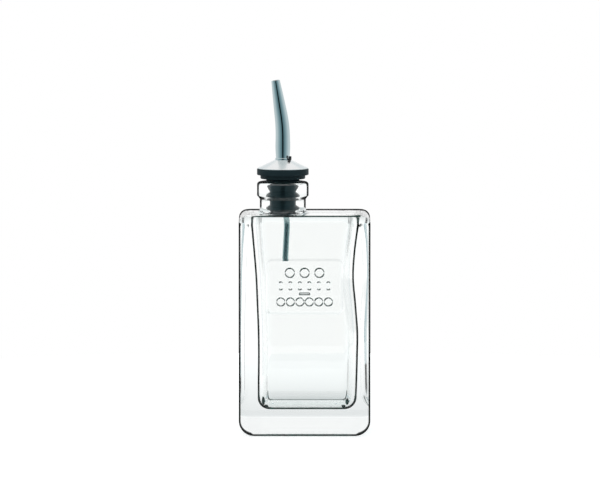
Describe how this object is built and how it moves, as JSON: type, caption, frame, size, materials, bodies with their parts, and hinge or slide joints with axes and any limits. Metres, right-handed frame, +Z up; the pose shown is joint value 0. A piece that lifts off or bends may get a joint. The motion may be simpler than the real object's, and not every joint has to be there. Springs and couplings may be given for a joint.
{
  "type": "vinegar bottle",
  "caption": "Thick clear glass vinegar bottle with an off-centre neck, a black finned stopper, a leaning steel pouring spout and a vent tube.",
  "frame": {"origin": "middle of the base, on the surface it stands on", "axes": "+Z up, +X to the bottle's right seen from the front, +Y to its back; the neck stands left of the middle"},
  "size_m": [0.075, 0.059, 0.2021],
  "materials": {
    "clear_glass": "clear, faint green",
    "black_rubber": "satin",
    "polished_steel": "polished",
    "satin_steel": "satin",
    "tube_steel": "satin",
    "black_plastic": "matt"
  },
  "bodies": {
    "root": {"glass_bottle": "clear_glass", "stopper": "black_rubber", "spout_cone": "polished_steel", "spout": "satin_steel", "vent_tube": "tube_steel", "vent_nub": "black_plastic"}
  },
  "joints": []
}
